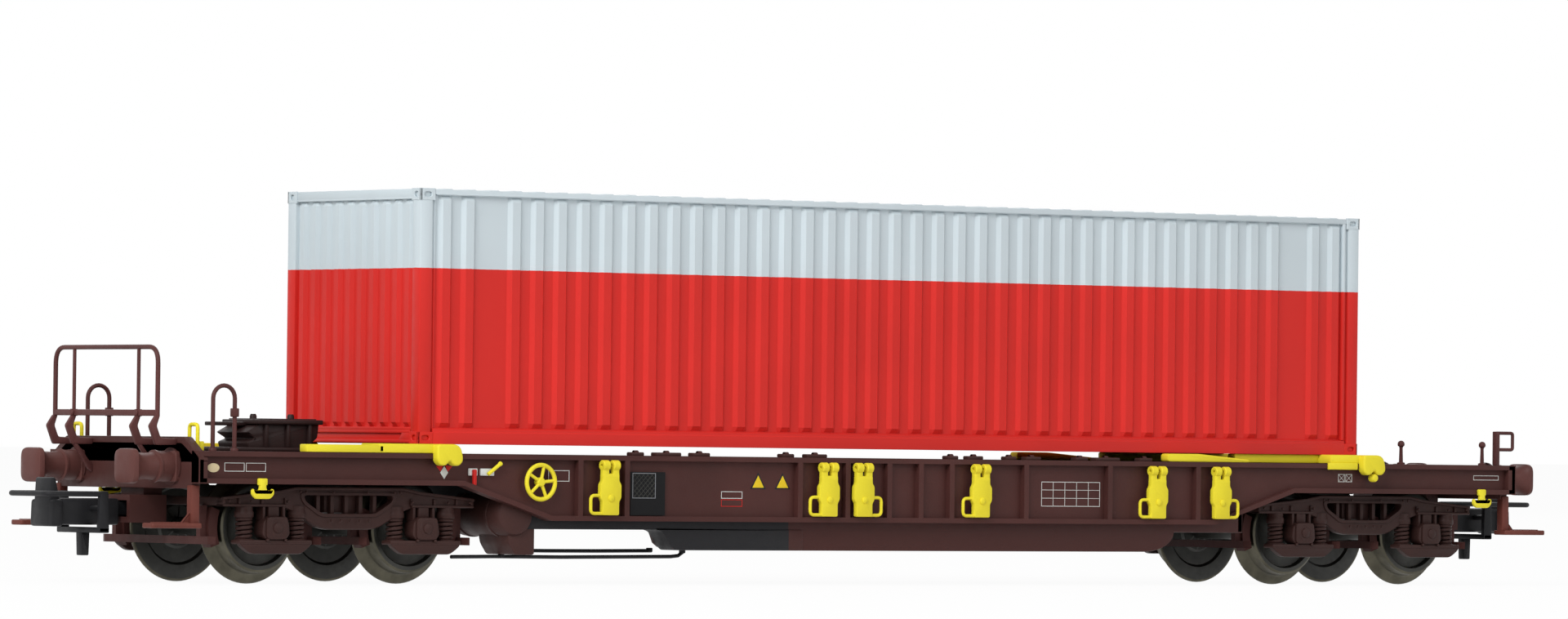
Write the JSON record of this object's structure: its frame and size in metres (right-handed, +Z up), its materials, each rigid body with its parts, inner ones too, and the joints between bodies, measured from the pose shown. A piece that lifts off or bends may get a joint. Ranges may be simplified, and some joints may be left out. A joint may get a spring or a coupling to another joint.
{
  "type": "model railway pocket wagon with container",
  "caption": "Model railway pocket wagon on swivelling bogies with free wheels, loop couplers and a lift-off hollow freight container.",
  "frame": {"origin": "on the floor under the wheel flanges, midway between the bogies", "axes": "+X along the wagon to the end without a railing, +Y across it, +Z up"},
  "size_m": [0.224, 0.034, 0.0459],
  "materials": {
    "wagon_brown": "satin printed plastic",
    "step_brown": "bare satin plastic",
    "yellow_plastic": "satin plastic",
    "coupler_black": "satin plastic",
    "wheel_metal": "blackened with bright treads",
    "container_paint": "satin paint, red below and light grey above"
  },
  "bodies": {
    "wagon": {"brake_casing": "wagon_brown", "brake_rods": "wagon_brown", "buffers_left": "wagon_brown", "buffers_right": "wagon_brown", "changeover_levers": "wagon_brown", "coupler_box_left": "wagon_brown", "coupler_box_right": "wagon_brown", "deck_left": "wagon_brown", "deck_right": "wagon_brown", "end_spigots": "yellow_plastic", "handrail_hoops": "wagon_brown", "handwheel_far": "yellow_plastic", "handwheel_near": "yellow_plastic", "headstock_left": "wagon_brown", "headstock_right": "wagon_brown", "kingpin_trestle": "coupler_black", "label_panels": "wagon_brown", "lever_posts": "wagon_brown", "railing": "wagon_brown", "rope_hooks": "yellow_plastic", "sill_far": "wagon_brown", "sill_near": "wagon_brown", "spigot_arms_far": "yellow_plastic", "spigot_arms_near": "yellow_plastic", "steps_left": "step_brown", "steps_right": "step_brown", "stop_brackets_far": "yellow_plastic", "stop_brackets_near": "yellow_plastic", "wheel_pocket": "wagon_brown"},
    "bogie_left": {"axleboxes_left": "wagon_brown", "bogie_frame_left": "wagon_brown", "brakes_left": "wagon_brown", "springs_left": "wagon_brown"},
    "bogie_right": {"axleboxes_right": "wagon_brown", "bogie_frame_right": "wagon_brown", "brakes_right": "wagon_brown", "springs_right": "wagon_brown"},
    "container": {"container_door_far": "container_paint", "container_door_near": "container_paint", "container_end_wall": "container_paint", "container_floor": "container_paint", "container_frame_left": "container_paint", "container_frame_right": "container_paint", "container_roof": "container_paint", "container_side_far": "container_paint", "container_side_near": "container_paint"},
    "coupler_left": {"coupler_left": "coupler_black"},
    "coupler_loop_left": {"coupler_loop_left": "coupler_black"},
    "wheelset_left_inner": {"wheelset_left_inner": "wheel_metal"},
    "wheelset_left_outer": {"wheelset_left_outer": "wheel_metal"},
    "coupler_right": {"coupler_right": "coupler_black"},
    "coupler_loop_right": {"coupler_loop_right": "coupler_black"},
    "wheelset_right_inner": {"wheelset_right_inner": "wheel_metal"},
    "wheelset_right_outer": {"wheelset_right_outer": "wheel_metal"}
  },
  "joints": [
    {"name": "bogie_left_swivel", "type": "hinge", "parent": "wagon", "child": "bogie_left", "pos_m": [-0.07645, 0, 0.0115], "axis": [0, 0, 1], "range_deg": [-10, 10]},
    {"name": "wheelset_left_outer_spin", "type": "hinge", "parent": "bogie_left", "child": "wheelset_left_outer", "pos_m": [-0.0868, 0, 0.0065], "axis": [0, 1, 0], "continuous": true},
    {"name": "wheelset_left_inner_spin", "type": "hinge", "parent": "bogie_left", "child": "wheelset_left_inner", "pos_m": [-0.0661, 0, 0.0065], "axis": [0, 1, 0], "continuous": true},
    {"name": "coupler_left_swing", "type": "hinge", "parent": "wagon", "child": "coupler_left", "pos_m": [-0.0975, 0, 0.0085], "axis": [0, 0, 1], "range_deg": [-8, 8]},
    {"name": "coupler_left_loop_lift", "type": "hinge", "parent": "coupler_left", "child": "coupler_loop_left", "pos_m": [-0.1043, 0, 0.0085], "axis": [0, 1, 0], "range_deg": [0, 10]},
    {"name": "bogie_right_swivel", "type": "hinge", "parent": "wagon", "child": "bogie_right", "pos_m": [0.07645, 0, 0.0115], "axis": [0, 0, 1], "range_deg": [-10, 10]},
    {"name": "wheelset_right_outer_spin", "type": "hinge", "parent": "bogie_right", "child": "wheelset_right_outer", "pos_m": [0.0868, 0, 0.0065], "axis": [0, 1, 0], "continuous": true},
    {"name": "wheelset_right_inner_spin", "type": "hinge", "parent": "bogie_right", "child": "wheelset_right_inner", "pos_m": [0.0661, 0, 0.0065], "axis": [0, 1, 0], "continuous": true},
    {"name": "coupler_right_swing", "type": "hinge", "parent": "wagon", "child": "coupler_right", "pos_m": [0.0975, 0, 0.0085], "axis": [0, 0, 1], "range_deg": [-8, 8]},
    {"name": "coupler_right_loop_lift", "type": "hinge", "parent": "coupler_right", "child": "coupler_loop_right", "pos_m": [0.1043, 0, 0.0085], "axis": [0, -1, 0], "range_deg": [0, 10]},
    {"name": "container_lift_off", "type": "slide", "parent": "wagon", "child": "container", "axis": [0, 0, 1], "range_m": [0, 0.04]}
  ]
}
